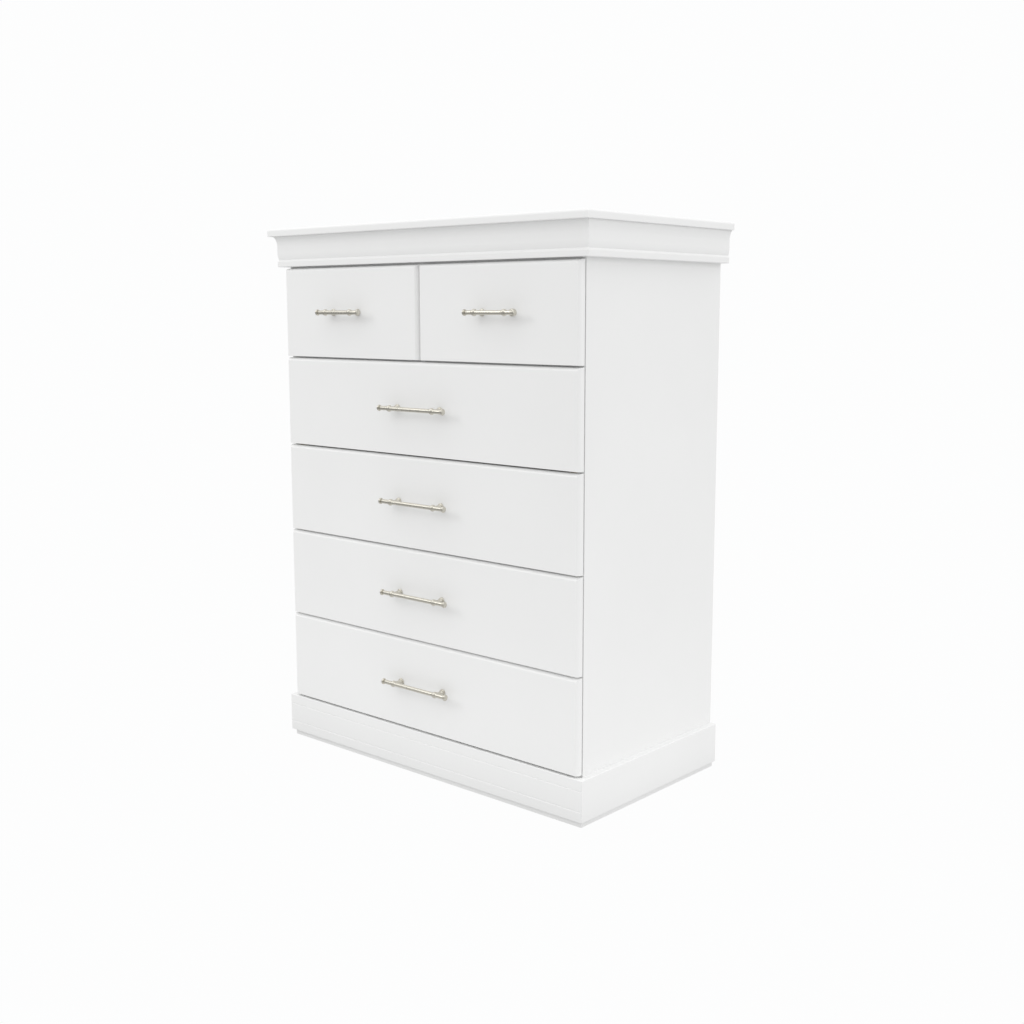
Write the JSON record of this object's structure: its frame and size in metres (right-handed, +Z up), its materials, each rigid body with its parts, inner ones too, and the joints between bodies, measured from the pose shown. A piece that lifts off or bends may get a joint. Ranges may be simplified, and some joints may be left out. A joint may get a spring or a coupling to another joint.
{
  "type": "tall chest of drawers",
  "caption": "Tall white chest of drawers: small drawers over full-width drawers, moulded cornice, grooved plinth and turned bar handles. Every drawer slides out.",
  "frame": {"origin": "on the floor, in the middle of the overall width and depth with the handles included", "axes": "+Z up, drawer fronts and handles face -Y, +X to the right of someone facing the drawers"},
  "size_m": [0.936, 0.5098, 1.2],
  "materials": {
    "white_lacquer": "satin white lacquer",
    "pale_birch": "clear sealed birch",
    "satin_nickel": "satin nickel"
  },
  "bodies": {
    "carcass": {"top_panel": "white_lacquer", "cornice_front": "white_lacquer", "cornice_left": "white_lacquer", "cornice_right": "white_lacquer", "side_panel_left": "white_lacquer", "side_panel_right": "white_lacquer", "plinth_front": "white_lacquer", "plinth_left": "white_lacquer", "plinth_right": "white_lacquer", "plinth_rear": "pale_birch", "bottom_panel": "white_lacquer", "back_panel": "pale_birch", "top_rail_front": "white_lacquer", "top_rail_rear": "pale_birch", "small_drawer_shelf": "white_lacquer", "centre_divider": "white_lacquer", "runner_1_left": "pale_birch", "runner_1_right": "pale_birch", "runner_2_left": "pale_birch", "runner_2_right": "pale_birch", "runner_3_left": "pale_birch", "runner_3_right": "pale_birch"},
    "upper_left": {"upper_left_front": "white_lacquer", "upper_left_side_left": "pale_birch", "upper_left_side_right": "pale_birch", "upper_left_back": "pale_birch", "upper_left_bottom": "pale_birch", "upper_left_handle": "satin_nickel"},
    "upper_right": {"upper_right_front": "white_lacquer", "upper_right_side_left": "pale_birch", "upper_right_side_right": "pale_birch", "upper_right_back": "pale_birch", "upper_right_bottom": "pale_birch", "upper_right_handle": "satin_nickel"},
    "wide_1": {"wide_1_front": "white_lacquer", "wide_1_side_left": "pale_birch", "wide_1_side_right": "pale_birch", "wide_1_back": "pale_birch", "wide_1_bottom": "pale_birch", "wide_1_handle": "satin_nickel"},
    "wide_2": {"wide_2_front": "white_lacquer", "wide_2_side_left": "pale_birch", "wide_2_side_right": "pale_birch", "wide_2_back": "pale_birch", "wide_2_bottom": "pale_birch", "wide_2_handle": "satin_nickel"},
    "wide_3": {"wide_3_front": "white_lacquer", "wide_3_side_left": "pale_birch", "wide_3_side_right": "pale_birch", "wide_3_back": "pale_birch", "wide_3_bottom": "pale_birch", "wide_3_handle": "satin_nickel"},
    "wide_4": {"wide_4_front": "white_lacquer", "wide_4_side_left": "pale_birch", "wide_4_side_right": "pale_birch", "wide_4_back": "pale_birch", "wide_4_bottom": "pale_birch", "wide_4_handle": "satin_nickel"}
  },
  "joints": [
    {"name": "upper_left_slide", "type": "slide", "parent": "carcass", "child": "upper_left", "axis": [0, -1, 0], "range_m": [0, 0.33]},
    {"name": "upper_right_slide", "type": "slide", "parent": "carcass", "child": "upper_right", "axis": [0, -1, 0], "range_m": [0, 0.33]},
    {"name": "wide_1_slide", "type": "slide", "parent": "carcass", "child": "wide_1", "axis": [0, -1, 0], "range_m": [0, 0.33]},
    {"name": "wide_2_slide", "type": "slide", "parent": "carcass", "child": "wide_2", "axis": [0, -1, 0], "range_m": [0, 0.33]},
    {"name": "wide_3_slide", "type": "slide", "parent": "carcass", "child": "wide_3", "axis": [0, -1, 0], "range_m": [0, 0.33]},
    {"name": "wide_4_slide", "type": "slide", "parent": "carcass", "child": "wide_4", "axis": [0, -1, 0], "range_m": [0, 0.33]}
  ]
}
